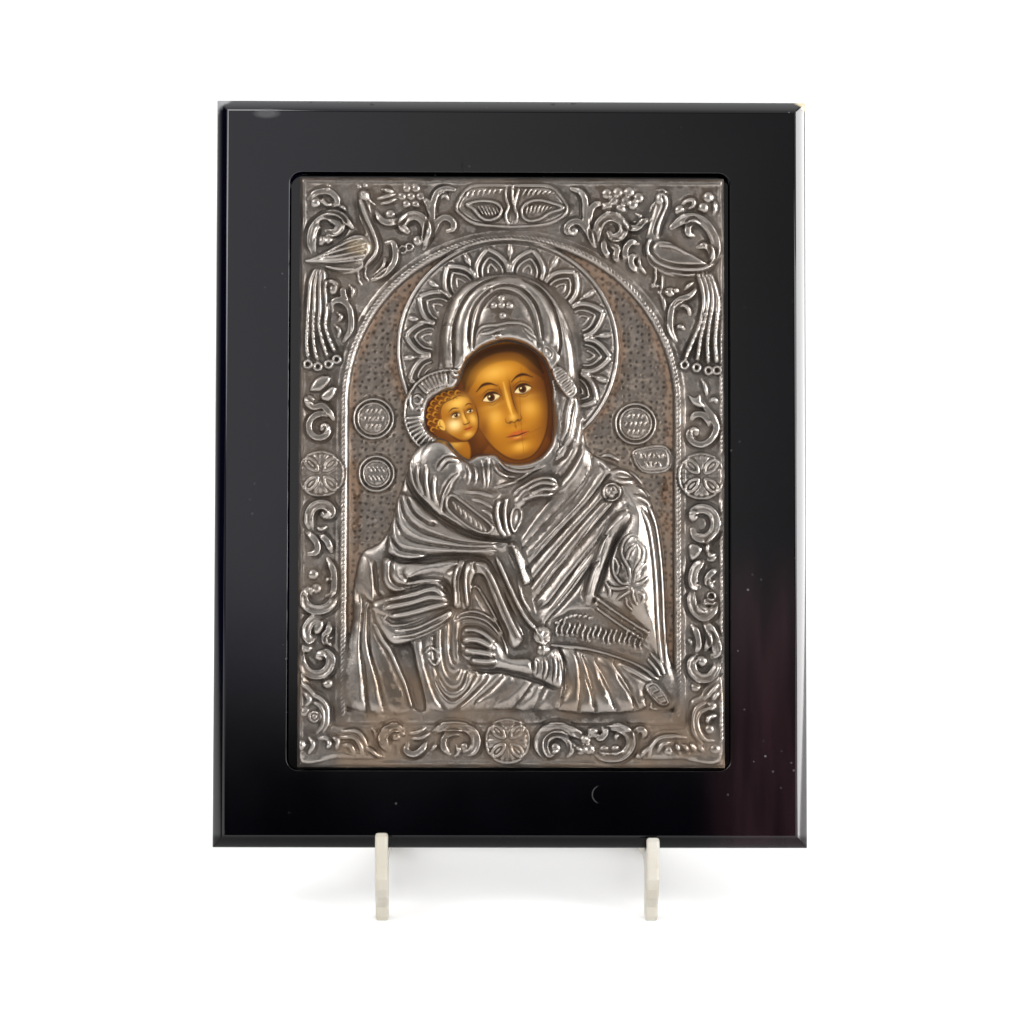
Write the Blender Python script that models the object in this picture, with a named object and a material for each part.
"""Icon panel: a lacquered board with an embossed silver cover, leaning on a display stand.

The icon has its own frame: its origin is the middle of the board's front face, x runs to the right,
z up along the board and y into the wood. The relief is drawn in that plane, in millimetres.
"""

import math

import bmesh
import bpy
import numpy as np
from mathutils import Matrix, Vector

MM = 0.001
GAP = 0.0003

BOARD_WIDTH = 0.200
BOARD_HEIGHT = 0.253
BOARD_THICKNESS = 0.018
BOARD_BEVEL = 0.0045
BACK_CHAMFER = 0.001

POCKET_WIDTH = 0.149
POCKET_HEIGHT = 0.202
POCKET_DEPTH = 0.005
POCKET_CORNER = 0.004
POCKET_SHIFT = (-0.0005, 0.0005)

COVER_WIDTH = 0.1435
COVER_HEIGHT = 0.1992
COVER_SHIFT = (0.00025, 0.0001)
COVER_BACK = 0.0014
PANEL_THICKNESS = POCKET_DEPTH - COVER_BACK - 2 * GAP
PANEL_MARGIN = 0.0020
PANEL_CORNER = 0.0015

LEAN = math.radians(14.0)
SEAT_HEIGHT = 0.0262
BRACKET_THICKNESS = 0.0043
BRACKET_SPACING = 0.0908
BRACKET_SHIFT = 0.00235
BRACKET_BEVEL = 0.0009
LIP_HEIGHTS = (0.0051, 0.0036)
LIP_THICKNESS = 0.0040
LIP_CORNER = 0.0012
UPRIGHT_HEIGHT = 0.118
APEX_RISE = 0.003
APEX_CORNER = 0.002
LEG_WIDTH = 0.007
HEEL_REACH = 0.1085
HEEL_LENGTH = 0.011
HEEL_HEIGHT = 0.008
HEEL_CORNER = 0.0016
HOLE_CORNER = 0.005
CORNER_STEPS = 5
# Curves of the foot, as y behind the board's lower front edge and z above the floor
FOOT_FRONT = ((0.0032, 0.0), (0.0026, 0.0018), (0.0024, 0.0050), (0.0008, 0.0070),
              (-0.0022, 0.0096), (-0.0042, 0.0130), (-0.0052, 0.0168), (-0.0043, 0.0204))
FOOT_BACK = ((0.0230, 0.0165), (0.0170, 0.0165), (0.0130, 0.0140), (0.0112, 0.0090), (0.0106, 0.0))
FRONT_REACH = -min(y for y, z in FOOT_FRONT)
BAR_RADIUS = 0.0025
BAR_HEIGHT = 0.0055
BAR_DROP = 0.006
BAR_SIDES = 20

# Heights of the relief in millimetres in front of the board's face
FIELD = -0.5
GROUND = 0.8
DISC = 0.4
EDGE_DROP = 1.3
OPENING_LEVEL = -0.8

# Plan of the cover in millimetres
GRID_STEP = 0.6
ARCH_CENTRE = 23.0
ARCH_RADIUS = 56.4
FIELD_FOOT = -81.0
BAND_FOOT = -85.0
NIMBUS = (-1.2, 41.5, 36.9)
CHILD_NIMBUS = (-21.5, 19.5, 15.0)
PETAL_COUNT = 14
PETAL_START = 75.0

COVER_TRIANGLES = 8000


def clear_scene():
    for item in list(bpy.data.objects):
        bpy.data.objects.remove(item, do_unlink=True)


def make_collection(name):
    collection = bpy.data.collections.new(name)
    bpy.context.scene.collection.children.link(collection)
    return collection


def make_material(name, colour, roughness, metallic=0.0):
    material = bpy.data.materials.new(name)
    material.use_nodes = True
    shader = material.node_tree.nodes["Principled BSDF"]
    shader.inputs["Base Color"].default_value = (*colour, 1.0)
    shader.inputs["Roughness"].default_value = roughness
    shader.inputs["Metallic"].default_value = metallic
    return material


def object_from_bmesh(name, shape, collection, material=None):
    mesh = bpy.data.meshes.new(name)
    bmesh.ops.recalc_face_normals(shape, faces=shape.faces)
    shape.to_mesh(mesh)
    shape.free()
    item = bpy.data.objects.new(name, mesh)
    collection.objects.link(item)
    if material:
        mesh.materials.append(material)
    return item


def cut(item, cutter):
    modifier = item.modifiers.new(cutter.name, "BOOLEAN")
    modifier.operation = "DIFFERENCE"
    modifier.object = cutter
    cutter.hide_render = True
    cutter.display_type = "WIRE"


# Curves of the relief


def smooth(points, closed=False, samples=7):
    """A Catmull-Rom line through a few points."""
    given = np.array(points, float)
    if closed:
        given = np.vstack([given[-1], given, given[0], given[1]])
    else:
        given = np.vstack([2 * given[0] - given[1], given, 2 * given[-1] - given[-2]])
    t = np.linspace(0.0, 1.0, samples, endpoint=False)[:, None]
    runs = []
    for a, b, c, d in zip(given, given[1:], given[2:], given[3:]):
        bend = (2 * a - 5 * b + 4 * c - d) * t**2 + (3 * b - a - 3 * c + d) * t**3
        runs.append(0.5 * (2 * b + (c - a) * t + bend))
    return np.vstack(runs + [given[-2][None, :]])


def arc(x, y, radius, start, end, end_radius=None, count=24):
    """An arc, or a spiral where the end radius differs. Angles in degrees."""
    turn = np.radians(np.linspace(start, end, count))
    reach = np.linspace(radius, radius if end_radius is None else end_radius, count)
    return np.column_stack([x + reach * np.cos(turn), y + reach * np.sin(turn)])


def inside(path, x, y):
    """Which points lie inside a closed path."""
    hit = np.zeros(x.shape, bool)
    for (x0, y0), (x1, y1) in zip(path, np.roll(path, -1, axis=0)):
        if y0 != y1:
            crosses = (y0 > y) != (y1 > y)
            hit ^= crosses & (x < (x1 - x0) * (y - y0) / (y1 - y0) + x0)
    return hit


def ease(t):
    t = np.clip(t, 0.0, 1.0)
    return t * t * (3.0 - 2.0 * t)


class Relief:
    """A height field over the cover, modelled with rounded strokes and swellings."""

    def __init__(self, left, right, bottom, top, step):
        self.columns = round((right - left) / step)
        self.rows = round((top - bottom) / step)
        self.xs = np.linspace(left, right, self.columns + 1)
        self.ys = np.linspace(bottom, top, self.rows + 1)
        self.x, self.y = np.meshgrid(self.xs, self.ys)
        self.h = np.zeros_like(self.x)

    def window(self, path, reach):
        low = path.min(axis=0) - reach
        high = path.max(axis=0) + reach
        columns = slice(*np.searchsorted(self.xs, (low[0], high[0])))
        rows = slice(*np.searchsorted(self.ys, (low[1], high[1])))
        return rows, columns

    def measure(self, path, reach):
        """Distance to a path, the side, and how far along it, for the points near it."""
        area = self.window(path, reach)
        x = self.x[area]
        y = self.y[area]
        near = np.full(x.shape, 1e9)
        side = np.zeros(x.shape)
        run = np.zeros(x.shape)
        length = 0.0
        for (x0, y0), (x1, y1) in zip(path, path[1:]):
            dx = x1 - x0
            dy = y1 - y0
            span = math.hypot(dx, dy)
            if span < 1e-9:
                continue
            t = np.clip(((x - x0) * dx + (y - y0) * dy) / span**2, 0.0, 1.0)
            gap_x = x - x0 - t * dx
            gap_y = y - y0 - t * dy
            gap = gap_x**2 + gap_y**2
            closer = gap < near
            near = np.where(closer, gap, near)
            side = np.where(closer, np.sign(dx * gap_y - dy * gap_x), side)
            run = np.where(closer, length + t * span, run)
            length += span
        return area, np.sqrt(near), side, run, length

    def strokes(self, lines, width, height, taper=0.35, skew=0.0, hollow=0.0, closed=False):
        """Rounded strokes, joined by their highest point and then laid on what is there."""
        layer = np.zeros_like(self.h)
        for line in lines:
            path = smooth(line, closed) if len(line) < 20 else np.array(line)
            if closed and len(line) >= 20:
                path = np.vstack([path, path[:1]])
            area, near, side, run, length = self.measure(path, width)
            ends = np.ones_like(near)
            if not closed:
                ends = np.sqrt(ease(np.minimum(run, length - run) / (taper * length + 0.01) + 0.12))
            half = 0.5 * width * (1.0 + skew * side) * (0.4 + 0.6 * ends)
            across = np.clip(near / half, 0.0, 1.0)
            profile = (1.0 - across**2) if hollow == 0.0 else (1.0 - across**6)
            profile = profile * (1.0 - hollow * (1.0 - np.clip(across / 0.75, 0.0, 1.0) ** 2))
            layer[area] = np.maximum(layer[area], height * ends * profile)
        self.h += layer

    def cuts(self, lines, width, depth, taper=0.3):
        """Rounded grooves."""
        surface = self.h
        self.h = np.zeros_like(surface)
        self.strokes(lines, width, depth, taper)
        self.h = surface - self.h

    def mass(self, outline, top, shoulder, floor=FIELD, edge=0.0):
        """A swelling with rounded shoulders inside a closed outline."""
        path = smooth(outline, closed=True)
        area, near, _, _, _ = self.measure(path, self.xs[1] - self.xs[0])
        within = inside(path, self.x[area], self.y[area])
        rise = np.sqrt(1.0 - (1.0 - np.clip(near / shoulder, 0.0, 1.0)) ** 2)
        swell = floor + (top - floor) * (edge + (1.0 - edge) * rise)
        self.h[area] = np.where(within, np.maximum(self.h[area], swell), self.h[area])

    def sink(self, outline, level, slope):
        """A sunk place with sloping sides inside a closed outline."""
        path = smooth(outline, closed=True)
        area, near, _, _, _ = self.measure(path, 0.0)
        within = inside(path, self.x[area], self.y[area])
        part = ease(near / slope)
        sunk = self.h[area] + (level - self.h[area]) * part
        self.h[area] = np.where(within, np.minimum(self.h[area], sunk), self.h[area])

    def domes(self, places, radius, height):
        for x, y in places:
            path = np.array([[x, y], [x, y]])
            area = self.window(path, radius)
            away = np.hypot(self.x[area] - x, self.y[area] - y) / radius
            self.h[area] += height * np.sqrt(np.clip(1.0 - away**2, 0.0, 1.0))

    def rings(self, places, radius, width, height):
        count = 24 + round(2.0 * radius)
        circles = [arc(x, y, radius, 0.0, 360.0 - 360.0 / count, count=count) for x, y in places]
        self.strokes(circles, width, height, closed=True)


# Frame of the cover


def arch_path():
    """The line of the arch, from the foot at the left round to the foot at the right."""
    left = [(-ARCH_RADIUS, y) for y in np.linspace(FIELD_FOOT - 1.0, ARCH_CENTRE - 4.0, 12)]
    crown = arc(0.0, ARCH_CENTRE, ARCH_RADIUS, 180.0, 0.0, count=48)
    right = [(ARCH_RADIUS, y) for _, y in reversed(left)]
    return np.vstack([left, crown, right])


def arch_distance(relief):
    """How far each point is outside the arch's inner line, with its foot."""
    round_part = np.hypot(relief.x, relief.y - ARCH_CENTRE) - ARCH_RADIUS
    straight_part = np.abs(relief.x) - ARCH_RADIUS
    return np.where(relief.y > ARCH_CENTRE, round_part, straight_part)


def draw_frame(relief):
    """Border ground, rolled rim, band and rope of the arch, and the sunk field."""
    away = arch_distance(relief)
    in_band = np.maximum(away, BAND_FOOT - relief.y)
    in_field = np.maximum(away + 1.6, FIELD_FOOT + 0.3 - relief.y)
    relief.h[:] = GROUND
    relief.h += 0.35 * (1.0 - ease((in_band - 2.2) / 0.6))
    relief.h += (FIELD - GROUND - 0.35) * (1.0 - ease(in_field / 0.9 + 0.5))
    relief.strokes([arch_path()], 2.0, 1.0, taper=0.01)
    fillet = [(-54.4, FIELD_FOOT + 0.6), (0.0, FIELD_FOOT + 0.6), (54.4, FIELD_FOOT + 0.6)]
    relief.strokes([fillet], 1.0, 0.5, taper=0.01)
    relief.cuts([[(-59.0, BAND_FOOT), (0.0, BAND_FOOT), (59.0, BAND_FOOT)]], 1.0, 0.5, taper=0.01)


def draw_rim(relief):
    """Rolled rim, which turns down at the cut edge of the sheet."""
    from_side = np.minimum(relief.x - relief.xs[0], relief.xs[-1] - relief.x)
    from_end = np.minimum(relief.y - relief.ys[0], relief.ys[-1] - relief.y)
    for away, place, half in ((from_side, 0.9, 0.9), (from_end, 1.7, 1.2)):
        relief.h += 0.7 * np.clip(1.0 - ((away - place) / half) ** 2, 0.0, 1.0)
    away = np.minimum(from_side, from_end)
    relief.h -= EDGE_DROP * (1.0 - np.sqrt(1.0 - (1.0 - np.clip(away / 0.8, 0.0, 1.0)) ** 2))


def draw_rosette(relief, x, y, radius):
    """A ring with four fluted arms and four round lobes between them."""
    relief.domes([(x, y)], radius, 0.5)
    relief.rings([(x, y)], radius - 0.6, 1.3, 0.7)
    lobes = [45.0 + 90.0 * k for k in range(4)]
    reach = 0.56 * radius
    places = [tuple(arc(x, y, reach, angle, angle, count=1)[0]) for angle in lobes]
    relief.rings(places, 0.27 * radius, 1.1, 0.7)
    flutes = []
    for arm in range(4):
        for part in (-14.0, 0.0, 14.0):
            turn = math.radians(90.0 * arm + part)
            inner = (x + 0.15 * radius * math.cos(turn), y + 0.15 * radius * math.sin(turn))
            outer = (x + 0.86 * radius * math.cos(turn), y + 0.86 * radius * math.sin(turn))
            flutes.append([inner, outer])
    relief.strokes(flutes, 1.0, 0.5)


def draw_medallion(relief, x, y, radius):
    """A round boss with a double ring."""
    relief.domes([(x, y)], radius, 0.6)
    relief.rings([(x, y)], radius - 0.5, 1.1, 0.9)
    relief.rings([(x, y)], radius - 1.8, 0.8, 0.5)


# Ornament of the border


def draw_crest(relief):
    """Winged ornament over the crown of the arch."""
    panel = [(-19, 89), (-15, 94.5), (11, 97), (19, 88.5), (12, 83.5), (-12, 83.5)]
    relief.mass(panel, GROUND + 0.7, 1.5, GROUND)
    wings = [
        [(-16, 91), (-10, 91.5), (-4, 91)],
        [(-12.5, 89), (-9.5, 85.8), (-6, 84.6), (-3, 86)],
        [(4, 92), (10, 91.6), (17.5, 89.6)],
        [(3, 88.5), (4.8, 85.4), (8, 84.9), (12, 87.4), (17, 89.2)],
    ]
    relief.strokes(wings, 1.6, 0.8)
    strands = [
        [(-2, 97), (2, 93), (-1, 89), (1, 84)],
        [(2.5, 97), (-1, 93), (2, 89), (0, 84)],
    ]
    relief.strokes(strands, 1.6, 0.9)


def draw_left_peacock(relief):
    """Bird with spread tail in the left spandrel."""
    body = [(-51.5, 93), (-47.5, 92.5), (-46.5, 84), (-44.8, 77), (-46, 72), (-50, 68), (-57, 66.5),
            (-63, 69), (-66, 71), (-60, 75.5), (-53, 79), (-49.5, 80.5), (-51.5, 86)]
    relief.mass(body, GROUND + 1.6, 2.5, GROUND)
    feathers = [
        [(-49.5, 79.5), (-54, 79.2), (-60, 75.8), (-68, 70.8)],
        [(-48, 77), (-54, 76), (-60, 73), (-66, 70.5)],
        [(-47.5, 74.5), (-54, 73), (-62, 70)],
        [(-48, 72.5), (-53, 70.8), (-60, 69.5)],
    ]
    relief.strokes(feathers, 1.9, 0.6)
    neck = [[(-51.2, 92), (-49, 86), (-46.8, 81), (-45.6, 76), (-46.3, 72)]]
    relief.strokes(neck, 1.6, 0.5)
    relief.domes([(-49, 93.4)], 2.3, 0.9)
    relief.strokes([[(-48, 92.5), (-46, 90.3)], [(-51.5, 96.6), (-49, 95.5)]], 1.3, 0.9)
    relief.strokes([[(-51, 67), (-51, 63.5)], [(-48.6, 68.5), (-48, 64.5)]], 1.2, 0.9)
    tail = [
        [(-66, 69), (-68, 63), (-68.5, 55), (-68, 44), (-68.4, 38)],
        [(-65, 69), (-66.3, 60), (-66.2, 50), (-65.2, 41), (-65, 37)],
        [(-64, 68.5), (-64.6, 60), (-63.4, 50), (-62, 41), (-62, 37.5)],
        [(-62.6, 67.5), (-62.4, 57), (-61.3, 48), (-59.4, 41), (-58.7, 38.8)],
    ]
    relief.strokes(tail, 1.9, 1.2, taper=0.1)
    relief.rings([(-68.6, 36), (-65, 35.2), (-62, 36), (-58.7, 37.3)], 1.1, 1.1, 1.0)


def draw_right_peacock(relief):
    """The facing bird in the right spandrel."""
    body = [(52.5, 94.5), (48.5, 93.5), (47.2, 87), (45.8, 79), (45.3, 73), (48.5, 68.5), (55, 66.3),
            (61, 66), (65, 69), (61, 73), (55, 77.5), (50.5, 79.5), (52, 86)]
    relief.mass(body, GROUND + 1.6, 2.5, GROUND)
    wing = [
        [(46.8, 75), (49.5, 78.4), (53, 78), (59, 74.3), (66, 69.6)],
        [(47.2, 72.5), (50, 70.6), (55, 69.2), (61, 68.6), (65, 69)],
        [(50, 74), (55, 73.5), (61, 71)],
    ]
    relief.strokes(wing, 1.8, 0.6)
    relief.strokes([[(51.7, 94), (52.2, 90), (51.2, 86), (49.2, 80)]], 1.7, 0.6)
    relief.domes([(50.4, 92.4)], 2.2, 0.8)
    relief.strokes([[(49, 91.5), (46.8, 89.6)], [(49, 96), (52, 95.4)]], 1.3, 0.9)
    relief.strokes([[(48.4, 69.5), (48.5, 64.2)], [(51, 67), (51, 61.7)]], 1.2, 0.9)
    tail = [
        [(62.5, 67), (64.4, 61), (63.8, 54), (61, 44), (58.9, 38.5)],
        [(64, 67.5), (66.5, 60), (65.8, 52), (63.6, 41), (62.8, 37)],
        [(65.5, 67.5), (68.1, 58), (67.5, 49), (66.5, 40), (66.5, 36)],
        [(66.8, 67), (69.4, 57), (69.3, 47), (69.2, 36)],
    ]
    relief.strokes(tail, 1.9, 1.2, taper=0.1)
    relief.rings([(58.6, 36.5), (62.6, 35.2), (66.6, 34.3), (69.3, 34.2)], 1.1, 1.1, 1.0)


def draw_upper_scrolls(relief):
    """Leaf scrolls between the birds, the crest and the corners."""
    scrolls = [
        [(-67.5, 73), (-68.6, 79), (-67, 84.5), (-63, 87), (-59, 86), (-57.8, 83.4), (-59.5, 81),
         (-61.8, 81)],
        [(-46, 88), (-44.5, 86), (-42, 83.8), (-39, 84.5), (-34.5, 88.8)],
        [(-29, 77), (-28.4, 81), (-30, 85), (-33.2, 87), (-36.2, 85.4), (-36.9, 82.8), (-34.6, 81.4)],
        [(-44.5, 65.5), (-40.2, 70), (-38.7, 74), (-40, 77.5), (-42.3, 77.8)],
        [(-26.4, 84), (-24, 86), (-21.2, 85.8), (-19.8, 83.8), (-21.6, 81.2)],
        [(-53.7, 50), (-54.6, 55), (-57.4, 57.6), (-60.4, 56.8), (-61.5, 54.4)],
        [(-26.2, 86), (-25.4, 91.5), (-23, 95.2), (-19.5, 96)],
        [(26.2, 80), (24, 83.2), (21.4, 84.2), (19.4, 82.6)],
        [(20, 95.6), (23.4, 94.6), (25, 91), (24.4, 87)],
        [(38, 85.5), (40, 83.2), (42.6, 82.8), (44.6, 84.6), (47, 85.6)],
        [(28.4, 77), (28.3, 81), (30, 85), (33.4, 87), (37, 85.5), (38, 82.4), (36.6, 79.8), (34, 79.5),
         (33, 81)],
        [(38.4, 72), (38.7, 76), (41.4, 78.4), (43.2, 77)],
        [(42, 73.6), (40.4, 72), (42, 68.4)],
        [(66.5, 69), (69, 72), (69.2, 78), (67.4, 82.4), (63.8, 85.6), (60, 86.6), (56, 86),
         (53.6, 83.6)],
        [(63.4, 84.8), (60.4, 84.6), (59.3, 82.4), (60.2, 80.2), (62, 80.6)],
        [(62.5, 61), (57.2, 57.6), (54.8, 55), (53.8, 50)],
    ]
    relief.strokes(scrolls, 2.3, 1.2, hollow=0.35)
    leaves = [
        [(-66, 92), (-62, 94), (-58, 91.6), (-55, 88.4)],
        [(-60, 87.4), (-56, 85.4), (-53.6, 82.4)],
        [(-45, 94), (-42.5, 92.4), (-40, 91.4)],
        [(-56, 57.5), (-56.8, 61), (-53.5, 62.6)],
        [(-30, 91), (-28.6, 88), (-27, 85.4)],
        [(31, 78), (32.6, 75.6), (33, 72.6)],
        [(34, 76), (35.6, 74.8), (35.5, 71.4)],
        [(57, 88.8), (59, 91.6), (62, 91.6)],
        [(63, 76.5), (65.4, 77), (67.2, 75.4), (68, 72.6)],
        [(54.4, 55.4), (57.6, 56.8), (60.4, 54.4)],
        [(30.4, 91), (27, 89.6), (26.2, 86)],
        [(43, 69), (45.2, 67), (47, 67.4)],
    ]
    relief.strokes(leaves, 2.2, 1.0)
    beads = [(-66.5, 91), (-62.2, 91.5), (-61.7, 78.3), (-63.5, 78), (-33.5, 93), (-32, 78.2),
             (-59.5, 49.4), (21, 81.5), (31.7, 94.2), (35.2, 95), (38.5, 95.1), (34, 92), (38.5, 91.4),
             (32.6, 89.6), (36.4, 88.8), (64.7, 89.7), (66, 93.3), (60.6, 48.5)]
    relief.domes(beads, 1.5, 1.0)
    petals = arc(-33.5, 93.0, 3.0, 0.0, 300.0, count=6)
    relief.domes(petals, 1.2, 0.7)


def draw_side_scrolls(relief):
    """Scrolls and rosettes down both sides."""
    draw_rosette(relief, -64.3, -1.0, 7.6)
    draw_rosette(relief, 64.3, -1.5, 7.8)
    scrolls = [
        arc(-64, 14, 5.0, 20.0, 330.0, 3.6),
        [(-62, -10), (-59.4, -12.4), (-59.7, -15.4), (-61.8, -16.6), (-64, -15.5)],
        [(-62, -10.2), (-67.5, -10.6), (-69, -15), (-67.4, -19), (-62.4, -20)],
        [(-69, -20), (-66.5, -22), (-65, -24.6), (-65.6, -27.6), (-68, -28.2)],
        [(-61.5, -30), (-59.4, -33.6), (-59, -38.4), (-59.6, -43.2), (-61.6, -46.4), (-65.2, -47.3),
         (-68.6, -46), (-70, -43.4), (-68.8, -41)],
        [(-67.4, -51.6), (-68.9, -53), (-69.2, -55.4), (-68, -57), (-66.2, -56.8), (-65.4, -55.4)],
        [(-70.6, -58), (-71, -62.8), (-69.8, -66), (-67.4, -68.4), (-64.8, -69), (-62, -68.2),
         (-60.2, -66), (-59.8, -63.4), (-61, -61.4), (-63.4, -61)],
        [(-60.4, -51.8), (-60.7, -53.8), (-62.4, -55.4), (-63, -57.2), (-62.3, -59)],
        [(60.5, 17), (61.4, 19.8), (64, 20.6), (67.2, 18.4), (69, 15), (68.4, 11.4), (66, 8.9),
         (62.5, 8.8), (60, 10.9), (60, 13.6), (62.4, 14.6)],
        [(60.4, -13.4), (63, -12), (66.4, -12.4), (68.8, -15), (69, -19), (67, -22.2), (64, -23.3),
         (61.2, -22), (60.8, -19.8)],
        [(68.5, -20.4), (66.6, -24), (66.3, -27), (68.6, -29.6)],
        [(64, -30), (61.4, -33), (60.5, -37), (61.6, -39.8), (63.8, -38.6)],
        [(60.4, -42), (60.9, -47), (62.2, -51.5), (63, -56.6), (62.3, -59.6)],
        [(65.7, -53.2), (67, -55.8), (66.6, -58.4), (65.2, -59.4)],
        [(66, -51.6), (68.6, -55.6), (69.6, -58.6), (68.6, -61.2)],
        arc(64.4, -65.2, 4.9, 20.0, -230.0, 4.4),
    ]
    relief.strokes(scrolls, 2.2, 1.3, hollow=0.35, taper=0.2)
    leaves = [
        [(-64.5, 32), (-67.5, 29.4), (-67.8, 26.6)],
        [(-69, 25), (-66.2, 22.4), (-63.6, 21.4)],
        [(-63, 27), (-60.2, 28.6), (-59.8, 25.8), (-62.4, 23)],
        [(-64, -21.6), (-60.8, -24), (-59.5, -27.4)],
        [(60, 25), (60.6, 22.6), (63, 21.4), (66, 20)],
        [(64.4, 31), (65.4, 28.4), (66.4, 25.4)],
        [(59.6, -24), (60.4, -27.4), (63.2, -29)],
        [(66, -35), (69, -33)],
        [(66, -37.4), (68.8, -37.2)],
        [(-59.2, -69), (-59.6, -70.8), (-59.2, -72.4), (-60.4, -73.8)],
    ]
    relief.strokes(leaves, 2.1, 1.0)
    beads = [(-64, 14), (-66.5, -34.8), (-65, -40.2), (-67.2, -40.3), (-64, -61.8), (-69.2, -59.3),
             (-67.6, -59.3), (-61, -71.4), (-64, -22.8), (64.3, 14.4), (61.4, -15.2), (67.5, -42),
             (64.2, -63.9), (60.9, -72.4), (-66.6, -54)]
    relief.domes(beads, 1.4, 1.1)


def draw_bottom_scrolls(relief):
    """Rosette and running scrolls under the field."""
    draw_rosette(relief, -1.0, -90.6, 7.9)
    scrolls = [
        [(-36.5, -86), (-40.6, -86.6), (-43, -89.6), (-42.6, -92.8), (-40.2, -95)],
        [(-34.9, -91.8), (-35.2, -94), (-33.4, -95.2), (-31, -94.2), (-29.4, -92.2)],
        [(-26, -87.4), (-22.4, -86), (-17, -85.9), (-12.6, -87.6), (-11.1, -91), (-12.5, -95),
         (-15.3, -96.2), (-17.7, -94.6), (-16.8, -92.4), (-14.4, -91.6)],
        [(-20.4, -94.8), (-22.7, -92.4), (-22, -89.4), (-18.6, -88.2)],
        [(23.6, -91.6), (21, -88.6), (17.4, -86.3), (12.8, -86.6), (9.9, -88.6), (9.1, -91.8),
         (10.4, -95), (13.2, -96.4), (15.8, -95.4), (16.2, -93)],
        [(19.6, -96), (20.4, -93.5), (18.4, -90.4), (15, -89.4), (12.4, -90.8)],
        [(33, -86.4), (37, -86.2), (40, -89), (40.9, -92.3), (39, -95.2), (35, -96.4), (30, -96)],
        [(28, -89.4), (30.4, -89.8), (32.2, -88.2), (31.6, -86.6)],
        [(41.8, -88.8), (42.6, -87.2), (43.8, -86.6), (44.9, -87.8), (44.4, -89.4)],
        [(-29, -93.5), (-26, -92), (-24, -90.6)],
    ]
    relief.strokes(scrolls, 2.2, 1.2, hollow=0.35, taper=0.2)
    leaves = [
        [(-34.5, -87.6), (-31, -88.5), (-28, -86.8)],
        [(-34, -89.4), (-30.5, -90.4), (-27, -89)],
        [(-46.2, -86.4), (-45, -88.4), (-44.8, -91)],
        [(24, -93), (26, -95.4), (29, -95)],
    ]
    relief.strokes(leaves, 1.8, 0.8)
    relief.domes([(-38.6, -88.6), (-35.6, -88.6), (15.2, -93.3), (36, -89.4), (27.5, -88), (26.4, -93.4),
                  (31.4, -93.9), (35, -93.7), (24.6, -90)], 1.4, 0.9)


def draw_palmettes(relief):
    """Lobed palmettes in the two lower corners."""
    left = [(-70.6, -70), (-67.6, -70.6), (-66, -73), (-61.8, -76), (-60.2, -79), (-59.9, -84),
            (-58.2, -85.7), (-51, -85.7), (-48.4, -87.4), (-46.8, -91), (-44.6, -93.5), (-43.6, -96.6),
            (-58, -96.8), (-70.4, -96.6)]
    right = [(70.4, -70.5), (66.8, -71.4), (64.6, -72.9), (63.4, -75), (60.4, -76.4), (59.7, -79),
             (59.3, -84), (57.6, -86.1), (51.5, -86.4), (48.4, -87.8), (46.4, -91), (43.8, -92.9),
             (42.5, -96.6), (57, -96.8), (70.4, -96.6)]
    relief.mass(left, GROUND + 1.5, 2.5, GROUND)
    relief.mass(right, GROUND + 1.5, 2.5, GROUND)
    lobes = [
        [(-69.4, -71.4), (-67, -73.8), (-65.6, -76.6)],
        [(-66.8, -75), (-63.2, -76.8), (-61.4, -80), (-61.3, -84.2), (-62.8, -88.6)],
        [(-66, -80), (-62.8, -80.6), (-62.6, -84.6), (-64.6, -86.6), (-67, -85)],
        [(-57, -88), (-52.2, -88), (-49.4, -90.2), (-48, -93.2)],
        [(-55, -90.8), (-52.4, -91.4), (-50.8, -94.4)],
        [(-47.6, -92.6), (-45, -94.8)],
        [(-66.8, -87), (-64.4, -89.4), (-65.6, -93)],
        [(69.4, -71.2), (67.6, -73.8), (65.2, -76)],
        [(68.6, -74.6), (67.6, -77)],
        [(68, -81), (63.6, -82), (63.1, -85.4), (64.7, -88), (67.6, -88.2)],
        [(66, -78.6), (61.9, -80.2), (61.2, -85), (62.6, -89.6), (65.4, -91.8)],
        [(48, -93.8), (48.6, -90.6), (51, -88.9), (55, -88.6)],
        [(50.4, -93.8), (51.2, -91.4), (53.6, -90.5)],
        [(44, -96), (45, -94.2), (47.4, -93.2)],
        [(55.4, -91.2), (57.4, -94.6)],
        [(57.8, -90.6), (59.9, -94.6)],
        [(60.2, -90.2), (62.2, -93.6)],
        [(62.6, -90), (64, -92.4)],
    ]
    relief.strokes(lobes, 1.7, 0.8)
    relief.domes([(-68.2, -79.5), (-70, -92), (-60.5, -91.4), (-65.2, -83.2), (67.6, -78.8),
                  (65.7, -82.4), (66.6, -85.8), (68.2, -93.3), (52.8, -93.8), (49.4, -95)], 1.7, 0.7)


# Halos


def draw_nimbus(relief):
    """Large halo with lotus petals and a double rim."""
    x, y, radius = NIMBUS
    away = np.hypot(relief.x - x, relief.y - y)
    relief.h = np.where(away < radius, np.maximum(relief.h, DISC), relief.h)
    relief.rings([(x, y)], radius, 1.7, 1.0)
    relief.rings([(x, y)], radius - 2.0, 1.0, 0.5)
    step = 360.0 / PETAL_COUNT
    petals = []
    hearts = []
    for k in range(PETAL_COUNT):
        middle = PETAL_START + step * k
        for scale, reach, group in ((1.0, radius - 2.6, petals), (0.5, radius - 6.0, hearts)):
            shape = ((0.44, 22.0), (0.48, 26.5), (0.3, 30.8), (0.0, 34.3))
            for hand in (-1.0, 1.0):
                side = []
                for spread, out in shape:
                    turn = math.radians(middle + hand * spread * step * scale)
                    out = 22.0 + (out - 22.0) * (reach - 22.0) / 12.3
                    side.append((x + out * math.cos(turn), y + out * math.sin(turn)))
                group.append(side)
    relief.strokes(petals, 1.5, 1.0, taper=0.05)
    relief.strokes(hearts, 1.2, 0.7, taper=0.05)


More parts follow.
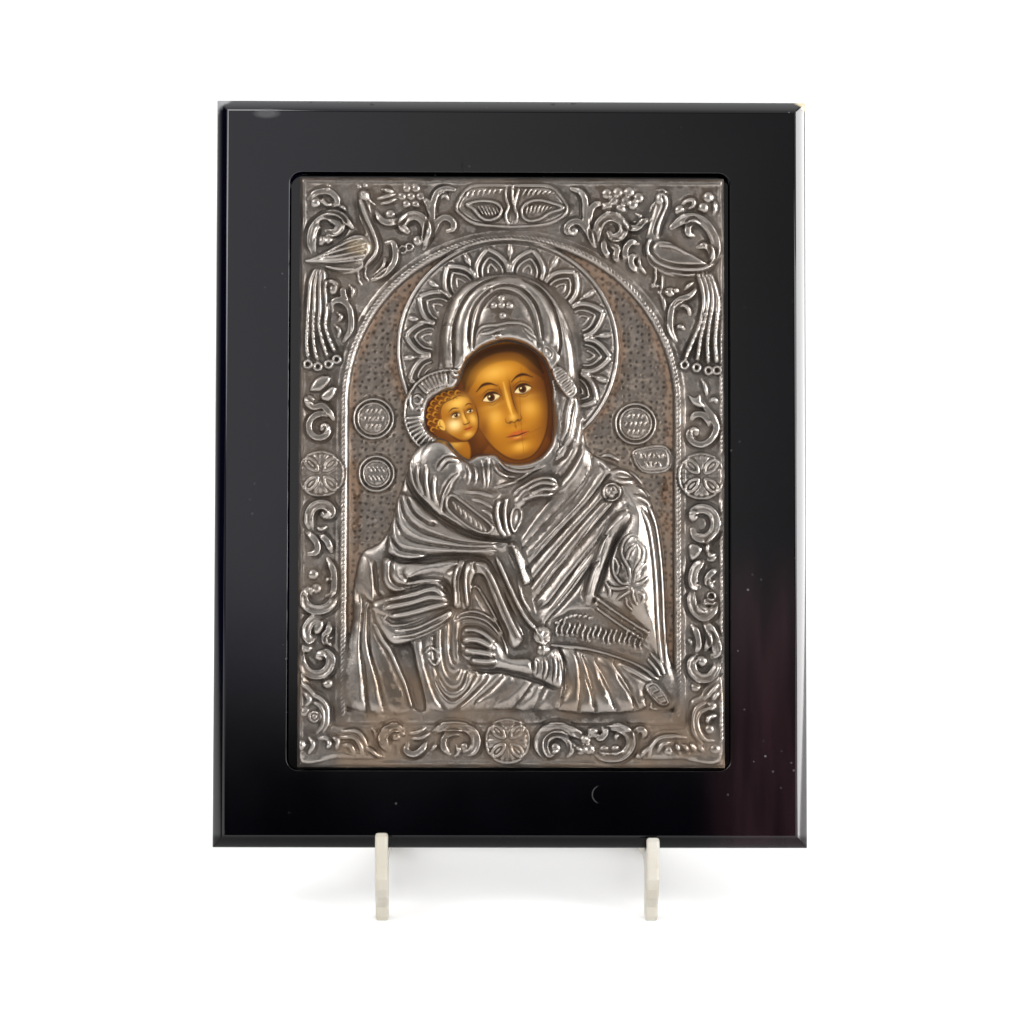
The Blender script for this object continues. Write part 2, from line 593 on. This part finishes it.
def draw_child_nimbus(relief):
    """Small halo with short rays."""
    x, y, radius = CHILD_NIMBUS
    away = np.hypot(relief.x - x, relief.y - y)
    relief.h = np.where(away < radius, np.maximum(relief.h, 1.2), relief.h)
    relief.rings([(x, y)], radius - 0.4, 1.1, 0.6)
    rays = []
    for angle in range(96, 262, 9):
        turn = math.radians(angle)
        rays.append([(x + out * math.cos(turn), y + out * math.sin(turn)) for out in (9.5, 12.0, 14.2)])
    relief.strokes(rays, 1.3, 0.6, taper=0.1)


# Figures


def draw_mantle(relief):
    """The mother's cloak: whole silhouette, hood, raised arm and the fall of the folds."""
    figure = [(0, 66.8), (-6, 66.6), (-13, 65), (-19, 61), (-22.6, 55), (-24, 46), (-24.6, 36),
              (-26.5, 22), (-30, 9), (-34, 2), (-37.5, -8), (-40, -17), (-44, -24), (-50, -27.5),
              (-52.4, -36), (-53.2, -50), (-53.5, -80.3), (0, -80.6), (53.4, -80.3), (53, -60),
              (52.2, -44), (51, -29), (49.4, -19), (46, -11), (41, -4), (36, 1.6), (29, 5), (25.4, 9),
              (23.6, 19), (22.8, 30), (21.8, 43), (18, 54), (13.6, 60), (8, 64.3)]
    relief.mass(figure, 2.4, 6.0)
    hood = [(0, 66.6), (-13, 64.8), (-19.6, 59.6), (-22.8, 51), (-23.6, 38), (-15, 32), (0, 40), (14, 30),
            (15, 10), (24, 10), (23, 28), (21.4, 45), (16, 56.4), (8, 64)]
    relief.mass(hood, 3.6, 5.0)
    arm = [(29, 4), (37, 1), (43, -4), (48, -12), (50.4, -24), (51.4, -42), (52.4, -62), (50, -68),
           (46, -60), (40, -50), (27, -43), (30, -33), (34, -22), (37, -14), (32, -5)]
    relief.mass(arm, 4.4, 9.0)
    hood_folds = [
        [(-19, 33), (-18.4, 38), (-15.4, 45), (-14.6, 51), (-11.4, 58), (-6, 62.4), (-1, 62.2), (4, 58),
         (7.4, 52), (9.6, 45)],
        [(3, 64.4), (9, 60), (13, 54), (15.6, 46), (16.2, 40), (14.6, 36)],
        [(10, 62.6), (15, 57), (19, 50), (21, 42), (21.6, 33)],
        [(-24, 53), (-23.6, 44), (-22.6, 37)],
        [(-18.6, 58), (-20, 50), (-19.6, 42), (-18.6, 37)],
    ]
    relief.strokes(hood_folds, 2.0, 0.8)
    relief.cuts([[(-12.6, 42), (-12.4, 50), (-10.4, 57), (-6, 61.2), (-2.4, 61.6), (3, 58.6), (7, 52),
                  (8.6, 44)]],
                1.0, 0.6)
    band = [[(-12, 46), (-9, 50), (-4, 51.4), (2, 51.4), (7, 48), (9.6, 43)]]
    relief.strokes(band, 2.0, 0.6)
    relief.domes([(-3.3, 58.2), (-6, 55.8), (-0.6, 55.8), (-2.9, 52.4), (-3.3, 55.8)], 1.2, 0.8)
    shoulder_folds = [
        [(22, 2), (16, -8), (10, -15), (5, -22)],
        [(26, -1), (20, -11), (13, -20), (5, -28)],
        [(32, -1.5), (26, -10), (20, -19), (13, -28), (6, -35.5)],
        [(31.5, -10), (24, -19.5), (19, -26), (12, -34), (8, -38)],
        [(36, -10), (30, -18), (24, -26), (18, -33), (11, -40)],
        [(28, -26), (22, -35), (17, -42), (12, -47)],
        [(36, -18), (31, -27), (27, -36), (25, -44)],
        [(25.2, 14), (24.6, 8), (21, 1), (15, -6)],
        [(20.6, 21), (17.4, 14), (14.6, 9)],
        [(22.4, 26), (19, 29.4), (15.4, 33)],
    ]
    relief.strokes(shoulder_folds, 2.4, 1.1, skew=0.25)
    arm_folds = [
        [(42, -8), (44.6, -18), (45.6, -32), (45.6, -47)],
        [(46, -12), (48.6, -24), (50, -38), (50.4, -60)],
        [(33, -1), (38, 0), (42, -2.4)],
        [(36, -5), (42, -5.4), (47, -10)],
        [(41, -8.4), (45, -9), (48, -12.4)],
    ]
    relief.strokes(arm_folds, 2.2, 0.8)
    relief.rings([(33.8, -7)], 2.6, 1.0, 0.7)
    flower = [
        [(41.5, -21.5), (37.4, -25), (37.6, -30), (40.5, -38.6)],
        [(43, -22), (45.4, -27), (43.6, -33), (41.4, -38.6)],
        [(34, -27), (33.6, -33), (38.6, -39.6)],
        [(31.6, -38), (35, -42), (39.6, -41)],
        [(41.4, -41), (43.6, -43.4), (42.6, -46)],
    ]
    relief.strokes(flower, 1.2, 0.6)


def draw_hem(relief):
    """Fringed hem of the cloak, its knot and the skirt below."""
    relief.strokes([[(27.6, -43.4), (37, -49.4), (47, -55.6)]], 4.0, 1.0, hollow=0.5, taper=0.03)
    relief.strokes([[(46, -61), (49.4, -64.6), (51.2, -68)]], 3.0, 0.8, hollow=0.4, taper=0.1)
    relief.strokes([[(46.6, -72.6), (51.4, -77.6)]], 4.4, 1.0, hollow=0.5, taper=0.03)
    tassels = []
    for k in range(15):
        x = 15.0 + 2.05 * k
        top = -49.6 - 0.12 * k
        tassels.append([(x + 1.2, top), (x + 0.6, top - 3.4), (x, top - 7.2)])
    relief.strokes(tassels, 1.3, 0.8, taper=0.15)
    relief.domes([(10.6, -55)], 3.2, 1.6)
    relief.domes([(11, -60)], 2.4, 1.2)
    skirt = [(15, -58.8), (26, -60), (38, -63), (46, -69), (44, -74), (43, -80.4), (16, -80.4),
             (17.4, -70)]
    relief.mass(skirt, 3.4, 5.0, 1.5)
    skirt_folds = [
        [(11, -61.4), (12.8, -64.4), (13.6, -69)],
        [(14.6, -59.6), (16, -64), (16.4, -72)],
        [(19.6, -59.6), (21.2, -65), (21.6, -78)],
        [(24, -63), (28, -70), (28.8, -79)],
        [(29, -64), (33, -71), (35.4, -79)],
        [(34, -66), (39, -72), (42, -79)],
        [(37, -64.6), (42, -67), (46.4, -69.4)],
    ]
    relief.strokes(skirt_folds, 2.6, 0.7, skew=0.3)


def draw_left_fall(relief):
    """Fan of folds at the left and the looped folds beside it."""
    relief.sink([(-39.6, -58.4), (-33, -57.8), (-30, -68), (-27.4, -79.6), (-32, -80.4),
                 (-35, -71)], 0.4, 1.5)
    edge = [[(-46, -50), (-43.2, -56.4), (-40.3, -60.8), (-37.4, -67), (-34.6, -74), (-32.8, -79.6)]]
    relief.strokes(edge, 1.8, 1.3, taper=0.05)
    fan = [
        [(-49.4, -54), (-49.2, -60), (-47.2, -67), (-43.6, -74), (-40.4, -79.6)],
        [(-50.4, -54), (-50.4, -62), (-49.6, -69), (-46.2, -79.4)],
        [(-51.6, -58), (-51.8, -68), (-51, -79.6)],
        [(-47, -54), (-45.4, -60), (-41.8, -68), (-37, -79)],
        [(-50.2, -28.6), (-49, -34), (-46.4, -42), (-45, -48)],
        [(-46, -30), (-44, -38), (-42.6, -44)],
    ]
    relief.strokes(fan, 2.3, 0.8, skew=0.3)
    loops = [
        [(-32.6, -58), (-31.4, -62.4), (-29.4, -69), (-25.4, -79)],
        [(-26.4, -56), (-26.6, -66), (-24, -74), (-20.4, -78), (-15.6, -76.8), (-12, -72), (-9.6, -69.6)],
        [(-23.6, -50), (-23.2, -62), (-22, -68), (-19, -71), (-16.4, -68), (-15.6, -63)],
        [(-21, -50), (-21, -60), (-20, -66)],
        [(-25, -68), (-22.4, -73), (-18.6, -75.2), (-15.8, -73.4), (-15.2, -68)],
        [(-0.4, -69), (-4.7, -73.7), (-10, -77.2)],
        [(4.3, -71), (0.7, -75.8), (-6, -79.4)],
        [(9.3, -71.6), (7, -76), (4.4, -80)],
        [(-28.6, -60.6), (-26, -59.2), (-23.4, -60.8)],
    ]
    relief.strokes(loops, 2.2, 0.9, skew=0.2)


def draw_child(relief):
    """The child's tunic, sleeve, arm and wrap."""
    wrap = [(-37.4, -8), (-33, -8.4), (-28, -13), (-20, -18.6), (-10, -22.6), (1, -23.6), (3, -27),
            (-3, -28), (-8, -29.4), (-20, -28.6), (-34, -30.4), (-41.4, -28), (-41, -22), (-39.4, -15)]
    relief.mass(wrap, 4.0, 5.0, 1.4)
    thigh = [(-41.4, -29), (-30, -30.6), (-14, -29.8), (-8, -30.8), (-4.6, -36), (-1, -45), (4.4, -54),
             (1.4, -62), (-2.6, -60), (-5, -52.4), (-9, -46), (-12.6, -39), (-14.4, -47), (-19, -46),
             (-21, -38.4), (-30, -38.6), (-38, -41), (-41.8, -37)]
    relief.mass(thigh, 4.6, 5.0, 1.8)
    tunic = [(-33.4, 5), (-29, 9), (-23, 10.4), (-18.6, 6.6), (-14.4, 2.6), (-10, 1.4), (-4, 2), (0, -3),
             (6, -3), (12, -1.4), (15.4, -3), (16.4, -6.6), (12, -9.6), (6, -10.8), (3.2, -14),
             (2.6, -19), (0, -23), (-6, -23), (-14, -21.4), (-22, -18), (-28, -12.6), (-33, -6),
             (-34.6, -1)]
    relief.mass(tunic, 5.0, 6.5, 1.6)
    relief.cuts([[(-35, -1), (-33, -7), (-28, -13), (-20, -18.8), (-12, -22), (-5, -23.2), (0, -23.4)],
                 [(-41.6, -29), (-34, -30.2), (-26, -28.6), (-14, -28.8), (-8, -30.4), (-5, -36),
                  (-1, -46)]],
                1.2, 0.7)
    wrap_folds = [
        [(-35.4, -6), (-31.6, -13), (-25, -18.6), (-15, -23)],
        [(-37.4, -12), (-33.4, -20), (-28, -24.4), (-15, -25.4)],
        [(-39.4, -15), (-37.4, -21), (-32, -25.6), (-24, -27)],
        [(-41.2, -30), (-41.2, -36), (-38, -40.4), (-30, -40)],
        [(-39, -33), (-36, -37), (-30, -37.4)],
        [(-14, -30), (-14.6, -36), (-14.4, -42), (-13.6, -47)],
        [(-17.4, -31), (-18.6, -36), (-19, -43)],
        [(-7.4, -32), (-3.6, -40), (-0.6, -48), (3.4, -57)],
        [(-4, -28), (-1, -36), (3.6, -47), (8, -53)],
        [(-11.6, -40), (-9.4, -43), (-6, -50), (-2, -56), (-1.4, -62)],
    ]
    relief.strokes(wrap_folds, 2.0, 0.9, skew=0.25)
    sash = [[(0, -23.6), (3, -29), (5.4, -38.4)]]
    relief.strokes(sash, 3.4, 1.6, taper=0.05)
    shoulder = [
        [(-24, 5), (-21, 4), (-17.6, -0.6), (-21, -6), (-23, -12), (-22.6, -16)],
        [(-31, 2), (-31.6, -4), (-28, -11)],
        [(-28, 3), (-28.4, -4), (-25, -11)],
        [(-24.6, 0), (-21, 3.4), (-17, 2)],
    ]
    relief.strokes(shoulder, 1.9, 0.8, skew=0.2)
    sleeve = [[(-20, -8.6), (-12, -14), (-6.4, -18.6), (-8.4, -21.4), (-14, -18.4), (-20.6, -13)]]
    relief.strokes(sleeve, 1.5, 0.8, closed=True)
    cuffs = [
        [(-3.6, -10), (-4.4, -15), (-2.6, -22)],
        [(-0.8, -9.6), (-1.4, -15), (-0.4, -21.4)],
        [(3, -13), (2.6, -17.4), (0.4, -22)],
    ]
    relief.strokes(cuffs, 1.8, 0.9)
    arm = [
        [(0.6, -8), (4, -5), (9, -2), (14, -2.4), (15.6, -4)],
        [(1, -12.4), (7, -9.8), (13, -8.8), (16, -6.2)],
        [(8, -6.4), (12, -5.4), (15, -5.4)],
    ]
    relief.strokes(arm, 1.7, 0.7)
    neck = [[(-15.4, 0), (-13, -5)], [(-12, 1.4), (-11.8, -4.4)], [(-8.4, 1.6), (-8.6, -6)], [(-5, 3),
                                                                                              (0, 0),
                                                                                              (5, -1)]]
    relief.strokes(neck, 1.4, 0.7)


def draw_hands(relief):
    """The mother's two hands with their cuffs."""
    cuff = [(-47, -47), (-43, -47.4), (-36, -51), (-26, -48), (-20.6, -46.6), (-20, -51), (-25, -54.6),
            (-32, -57), (-39.4, -58.4), (-44, -53.6)]
    relief.mass(cuff, 4.2, 3.5, 1.8)
    cuff_lines = [
        [(-39, -55.6), (-32, -54.6), (-22, -50)],
        [(-38, -53.4), (-31, -52), (-21, -48)],
        [(-41, -50), (-38.4, -52), (-33, -50.6), (-24, -46.6)],
    ]
    relief.strokes(cuff_lines, 1.3, 0.7)
    palm = [(-45, -44), (-38, -40.6), (-30, -39), (-24, -38), (-21.6, -41), (-20.6, -45.4), (-26, -48.6),
            (-34, -51.4), (-41, -50.6), (-46, -47.6)]
    relief.mass(palm, 4.4, 3.0, 1.8)
    fingers = [
        [(-38, -41.6), (-30, -38.8), (-24.6, -38), (-22, -40.2)],
        [(-42, -44.6), (-33, -42.8), (-26.6, -41), (-22.6, -42.4)],
        [(-43, -47.6), (-34, -46), (-27, -43.8), (-22, -43.6)],
        [(-41, -50.4), (-34, -49.6), (-26, -47.2), (-21.6, -45.4)],
    ]
    relief.strokes(fingers, 2.5, 1.3, taper=0.12)
    back = [(-16, -52.6), (-9, -53.6), (-3.6, -57.6), (-0.6, -62.6), (6.4, -63), (7.8, -66), (6.4, -68.2),
            (-3, -66.4), (-9.4, -66), (-13.6, -64.6), (-16.4, -61.4), (-16.6, -57)]
    relief.mass(back, 4.4, 3.5, 1.8)
    knuckles = [
        [(-16, -53.6), (-11.6, -53.8), (-6.4, -57)],
        [(-16.2, -56.8), (-11, -57.2), (-5, -59)],
        [(-15.8, -60.6), (-11, -60.9), (-5.4, -61.8)],
        [(-13.4, -63.9), (-9.6, -64.4), (-5, -64.6)],
    ]
    relief.strokes(knuckles, 2.5, 1.2, taper=0.12)
    wrist = [(7.4, -62.8), (11, -61.4), (15.4, -59.4), (17.6, -66), (17.4, -72.8), (10.6, -70.6),
             (7.8, -69)]
    relief.mass(wrist, 4.0, 3.0, 1.8)
    relief.strokes([[(8, -63), (8.2, -66), (7.8, -68.8)], [(11, -62.6), (11.6, -66),
                                                           (11, -70)]], 1.2, 0.6)


# The opening for the two faces


def opening_outline():
    """Cut edge of the opening, clockwise from the child's brow."""
    return smooth([
        (-24, 26.4), (-27.6, 24), (-29, 19.4), (-28.4, 14.6), (-25, 11.6), (-21.4, 10.4), (-18, 6.6),
        (-14.4, 4.2), (-11.6, 5.6), (-5.4, 6), (-2.6, 3.6), (3, 2.8), (8, 4), (11.4, 6.4), (13.6, 10.4),
        (14.2, 17), (13.8, 25), (12.8, 32.4), (10.8, 37.4), (7.6, 40.8), (3, 43.2), (-2, 44),
        (-7.4, 42.6), (-12, 40), (-15.4, 36), (-17.2, 31), (-19, 28), (-21.4, 27.4),
    ], closed=True, samples=3)


def draw_opening(relief):
    """The sheet turns down towards the painted panel round the opening."""
    edge = opening_outline()
    path = np.vstack([edge, edge[:1]])
    area, near, _, _, _ = relief.measure(path, 3.0)
    within = inside(edge, relief.x[area], relief.y[area])
    away = np.where(within, 0.0, near)
    keep = np.sqrt(1.0 - (1.0 - np.clip(away / 1.8, 0.0, 1.0)) ** 2)
    relief.h[area] = OPENING_LEVEL + (relief.h[area] - OPENING_LEVEL) * keep


def draw_cover():
    """The whole relief of the silver cover."""
    left = (COVER_SHIFT[0] - COVER_WIDTH / 2) / MM
    bottom = (COVER_SHIFT[1] - COVER_HEIGHT / 2) / MM
    relief = Relief(left, left + COVER_WIDTH / MM, bottom, bottom + COVER_HEIGHT / MM, GRID_STEP)
    draw_frame(relief)
    draw_crest(relief)
    draw_left_peacock(relief)
    draw_right_peacock(relief)
    draw_upper_scrolls(relief)
    draw_side_scrolls(relief)
    draw_bottom_scrolls(relief)
    draw_palmettes(relief)
    draw_nimbus(relief)
    draw_medallion(relief, -46.4, 17.8, 7.2)
    draw_medallion(relief, -45.3, -0.8, 6.2)
    draw_medallion(relief, 42.0, 16.3, 7.2)
    relief.mass([(41, 6), (43.4, 8), (51, 9), (54, 6.4), (54, 2), (51, 0), (44, 0.4)], 0.7, 2.0)
    draw_mantle(relief)
    draw_child_nimbus(relief)
    draw_hem(relief)
    draw_left_fall(relief)
    draw_child(relief)
    draw_hands(relief)
    draw_opening(relief)
    draw_rim(relief)
    return relief


# Pieces


def build_board(collection, cutters):
    shape = bmesh.new()
    bmesh.ops.create_cube(shape, size=1.0)
    size = Matrix.Diagonal((BOARD_WIDTH, BOARD_THICKNESS, BOARD_HEIGHT, 1.0))
    place = Matrix.Translation((0.0, BOARD_THICKNESS / 2, 0.0))
    bmesh.ops.transform(shape, matrix=place @ size, verts=shape.verts)
    front = [edge for edge in shape.edges if all(abs(v.co.y) < 1e-6 for v in edge.verts)]
    back = [edge for edge in shape.edges if all(v.co.y > BOARD_THICKNESS - 1e-6 for v in edge.verts)]
    bmesh.ops.bevel(shape, geom=front, offset=BOARD_BEVEL, segments=4, profile=0.6, affect="EDGES")
    bmesh.ops.bevel(shape, geom=back, offset=BACK_CHAMFER, segments=1, affect="EDGES")
    lacquer = make_material("black_lacquer", (0.012, 0.010, 0.011), 0.18)
    board = object_from_bmesh("board", shape, collection, lacquer)

    pocket = bmesh.new()
    bmesh.ops.create_cube(pocket, size=1.0)
    size = Matrix.Diagonal((POCKET_WIDTH, 2 * POCKET_DEPTH, POCKET_HEIGHT, 1.0))
    place = Matrix.Translation((POCKET_SHIFT[0], 0.0, POCKET_SHIFT[1]))
    bmesh.ops.transform(pocket, matrix=place @ size, verts=pocket.verts)
    corners = [edge for edge in pocket.edges if abs(edge.verts[0].co.y - edge.verts[1].co.y) > POCKET_DEPTH]
    bmesh.ops.bevel(pocket, geom=corners, offset=POCKET_CORNER, segments=5, profile=0.5, affect="EDGES")
    cutter = object_from_bmesh("pocket_cutter", pocket, cutters)
    cut(board, cutter)
    return board, cutter


def build_painted_panel(collection):
    """Thin panel on the pocket's floor, a little smaller than the cover that hides it."""
    shape = bmesh.new()
    bmesh.ops.create_cube(shape, size=1.0)
    width = COVER_WIDTH - 2 * PANEL_MARGIN
    height = COVER_HEIGHT - 2 * PANEL_MARGIN
    middle = POCKET_DEPTH - GAP - PANEL_THICKNESS / 2
    size = Matrix.Diagonal((width, PANEL_THICKNESS, height, 1.0))
    place = Matrix.Translation((COVER_SHIFT[0], middle, COVER_SHIFT[1]))
    bmesh.ops.transform(shape, matrix=place @ size, verts=shape.verts)
    corners = [edge for edge in shape.edges
               if abs(edge.verts[0].co.y - edge.verts[1].co.y) > PANEL_THICKNESS / 2]
    bmesh.ops.bevel(shape, geom=corners, offset=PANEL_CORNER, segments=3, profile=0.5, affect="EDGES")
    paint = make_material("amber_paint", (0.72, 0.36, 0.05), 0.4)
    return object_from_bmesh("painted_panel", shape, collection, paint)


def build_silver_cover(collection, cutters):
    """Grid lifted by the relief, closed with a flat back, thinned and pierced."""
    relief = draw_cover()
    shape = bmesh.new()
    bmesh.ops.create_grid(shape, x_segments=relief.columns, y_segments=relief.rows, size=1.0)
    for vert in shape.verts:
        column = round((vert.co.x + 1.0) * 0.5 * relief.columns)
        row = round((vert.co.y + 1.0) * 0.5 * relief.rows)
        height = relief.h[row, column]
        vert.co = Vector((relief.xs[column], -height, relief.ys[row])) * MM
    border = [edge for edge in shape.edges if edge.is_boundary]
    walls = bmesh.ops.extrude_edge_only(shape, edges=border)["geom"]
    rim = [item for item in walls if isinstance(item, bmesh.types.BMVert)]
    for vert in rim:
        vert.co.y = COVER_BACK
    loop = [edge for edge in shape.edges if edge.is_boundary]
    bmesh.ops.contextual_create(shape, geom=loop)
    bmesh.ops.triangulate(shape, faces=shape.faces)
    triangles = len(shape.faces)
    silver = make_material("aged_silver", (0.55, 0.52, 0.48), 0.34, 1.0)
    cover = object_from_bmesh("silver_cover", shape, collection, silver)
    thin = cover.modifiers.new("thin", "DECIMATE")
    thin.ratio = COVER_TRIANGLES / triangles

    outline = opening_outline()
    prism = bmesh.new()
    verts = [prism.verts.new((x * MM, -10 * MM, y * MM)) for x, y in outline]
    face = prism.faces.new(verts)
    deep = bmesh.ops.extrude_face_region(prism, geom=[face])["geom"]
    moved = [item for item in deep if isinstance(item, bmesh.types.BMVert)]
    bmesh.ops.translate(prism, verts=moved, vec=(0.0, 20 * MM, 0.0))
    cutter = object_from_bmesh("opening_cutter", prism, cutters)
    cut(cover, cutter)
    return cover, cutter


def board_point(depth, up):
    """World y and z of a point of the board's section, before the origin is centred."""
    y = depth * math.cos(LEAN) + up * math.sin(LEAN)
    z = SEAT_HEIGHT - depth * math.sin(LEAN) + up * math.cos(LEAN)
    return y, z


def crossing(a, b, c, d):
    """Where the line through a and b meets the line through c and d."""
    a, b, c, d = (Vector(p) for p in (a, b, c, d))
    run = b - a
    other = d - c
    t = (c - a).cross(other) / run.cross(other)
    return tuple(a + run * t)


def offset_line(a, b, distance):
    """The line through a and b, moved to its left."""
    a, b = Vector(a), Vector(b)
    run = (b - a).normalized()
    move = Vector((-run.y, run.x)) * distance
    return tuple(a + move), tuple(b + move)


def eased(corners, reach, steps):
    """A closed outline with its corners rounded over a length of each side."""
    outline = []
    for before, corner, after in zip(corners[-1:] + corners, corners, corners[1:] + corners[:1]):
        corner = Vector(corner)
        start = corner + (Vector(before) - corner).normalized() * reach
        end = corner + (Vector(after) - corner).normalized() * reach
        for step in range(steps + 1):
            t = step / steps
            outline.append(tuple(start * (1 - t) ** 2 + corner * (2 * t * (1 - t)) + end * t**2))
    return outline


def bracket_outlines(lip_height):
    """Outer outline and triangular hole of a side bracket, as world y and z."""
    back = BOARD_THICKNESS + GAP
    front = -GAP - LIP_THICKNESS
    lip = [board_point(front, 0.0), board_point(front, lip_height - LIP_CORNER),
           board_point(front + LIP_CORNER, lip_height), board_point(-GAP, lip_height)]
    seat = [board_point(-GAP, -GAP), board_point(back, -GAP)]
    top = [board_point(back, UPRIGHT_HEIGHT),
           board_point(back + APEX_CORNER, UPRIGHT_HEIGHT + APEX_RISE),
           board_point(back + LEG_WIDTH - APEX_CORNER, UPRIGHT_HEIGHT + APEX_RISE),
           board_point(back + LEG_WIDTH, UPRIGHT_HEIGHT)]
    heel = [(HEEL_REACH - HEEL_CORNER, HEEL_HEIGHT), (HEEL_REACH, HEEL_HEIGHT / 2),
            (HEEL_REACH, HEEL_CORNER), (HEEL_REACH - HEEL_CORNER, 0.0)]
    arch = [(HEEL_REACH - HEEL_LENGTH, 0.0), *FOOT_BACK]
    outer = [*FOOT_FRONT, *lip, *seat, *top, *heel, *arch]

    rail = offset_line(arch[1], arch[0], LEG_WIDTH)
    leg = offset_line(top[-1], heel[0], -LEG_WIDTH)
    upright = (board_point(back + LEG_WIDTH, 0.0), board_point(back + LEG_WIDTH, UPRIGHT_HEIGHT))
    hole = [crossing(*rail, *upright), crossing(*rail, *leg), crossing(*upright, *leg)]
    return outer, eased(hole, HOLE_CORNER, CORNER_STEPS)


def flat_outline(name, loops, collection, thickness, bevel):
    """Flat 2D curve, filled and thickened with soft edges, as a welded mesh in the y-z plane."""
    outline = bpy.data.curves.new(name + "_outline", "CURVE")
    outline.dimensions = "2D"
    outline.fill_mode = "BOTH"
    outline.extrude = thickness / 2 - bevel
    outline.bevel_depth = bevel
    outline.bevel_resolution = 1
    outline.offset = -bevel
    for loop in loops:
        spline = outline.splines.new("POLY")
        spline.points.add(len(loop) - 1)
        for point, (y, z) in zip(spline.points, loop):
            point.co = (y, z, 0.0, 1.0)
        spline.use_cyclic_u = True
    drawn = bpy.data.objects.new(name + "_outline", outline)
    collection.objects.link(drawn)
    bpy.context.view_layer.update()
    evaluated = drawn.evaluated_get(bpy.context.evaluated_depsgraph_get())
    mesh = bpy.data.meshes.new_from_object(evaluated)
    bpy.data.objects.remove(drawn, do_unlink=True)
    shape = bmesh.new()
    shape.from_mesh(mesh)
    bpy.data.meshes.remove(mesh)
    bmesh.ops.remove_doubles(shape, verts=shape.verts, dist=1e-6)
    turn = Matrix(((0, 0, 1, 0), (1, 0, 0, 0), (0, 1, 0, 0), (0, 0, 0, 1)))
    bmesh.ops.transform(shape, matrix=turn, verts=shape.verts)
    return shape


def build_stand(collection, centre):
    ivory = make_material("ivory_plastic", (0.80, 0.76, 0.65), 0.35)
    sides = (("stand_side_left", -0.5), ("stand_side_right", 0.5))
    for (name, hand), lip_height in zip(sides, LIP_HEIGHTS):
        loops = bracket_outlines(lip_height)
        shape = flat_outline(name, loops, collection, BRACKET_THICKNESS, BRACKET_BEVEL)
        bracket = object_from_bmesh(name, shape, collection, ivory)
        bracket.location = (BRACKET_SHIFT + hand * BRACKET_SPACING, -centre, 0.0)

    behind = BOARD_THICKNESS + GAP + LEG_WIDTH
    apex_y, apex_z = board_point(behind, UPRIGHT_HEIGHT - BAR_DROP)
    length = BRACKET_SPACING - BRACKET_THICKNESS - 2 * GAP
    for name, y, z in (("stand_bar_rear", HEEL_REACH - LEG_WIDTH, BAR_HEIGHT),
                       ("stand_bar_upper", apex_y, apex_z)):
        shape = bmesh.new()
        bmesh.ops.create_cone(shape, cap_ends=True, segments=BAR_SIDES, radius1=BAR_RADIUS,
                              radius2=BAR_RADIUS, depth=length)
        bar = object_from_bmesh(name, shape, collection, ivory)
        bar.location = (BRACKET_SHIFT, y - centre, z)
        bar.rotation_euler = (0.0, math.pi / 2, 0.0)


def main():
    clear_scene()
    parts = make_collection("icon_panel")
    cutters = make_collection("cutters")
    centre = (HEEL_REACH - FRONT_REACH) / 2
    middle_y, middle_z = board_point(0.0, BOARD_HEIGHT / 2)
    icon_frame = bpy.data.objects.new("icon_frame", None)
    parts.objects.link(icon_frame)
    icon_frame.location = (0.0, middle_y - centre, middle_z)
    icon_frame.rotation_euler = (-LEAN, 0.0, 0.0)
    board, pocket = build_board(parts, cutters)
    panel = build_painted_panel(parts)
    cover, opening = build_silver_cover(parts, cutters)
    for piece in (board, pocket, panel, cover, opening):
        piece.parent = icon_frame
    build_stand(parts, centre)


main()
